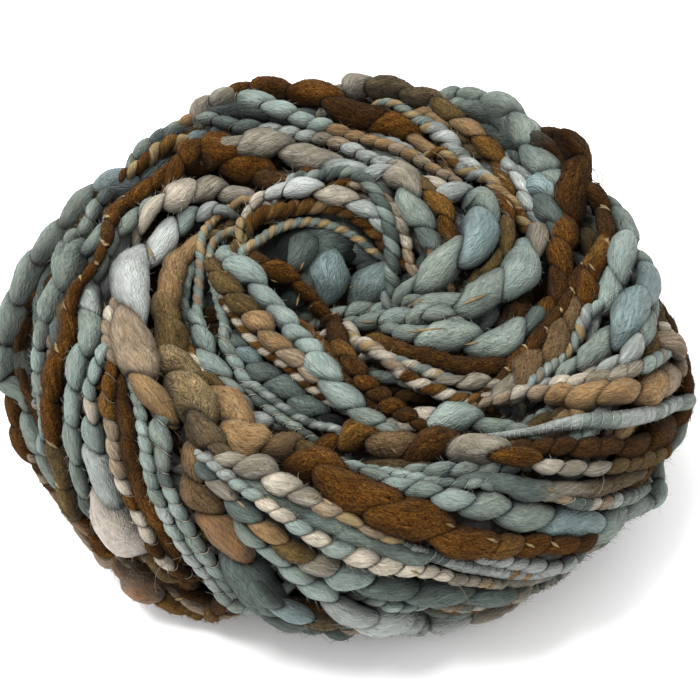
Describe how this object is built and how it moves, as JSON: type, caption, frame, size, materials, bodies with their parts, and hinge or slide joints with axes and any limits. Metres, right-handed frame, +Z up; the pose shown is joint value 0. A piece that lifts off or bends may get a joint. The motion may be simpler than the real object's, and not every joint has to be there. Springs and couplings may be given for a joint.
{
  "type": "hank of art yarn",
  "caption": "Hank of handspun thick-and-thin art yarn, twisted and coiled into a round nest with a hollow eye and a flat resting spot.",
  "frame": {"origin": "on the floor, in the middle of the hank's box", "axes": "+Z up through the eye of the nest, +X along the hank's longest side, -Y towards the lower front"},
  "size_m": [0.1988, 0.1808, 0.0913],
  "materials": {
    "spun_wool": "soft matte wool, teal, brown and cream, with a light halo of loose fibre"
  },
  "bodies": {
    "root": {"yarn_hank": "spun_wool"}
  },
  "joints": []
}
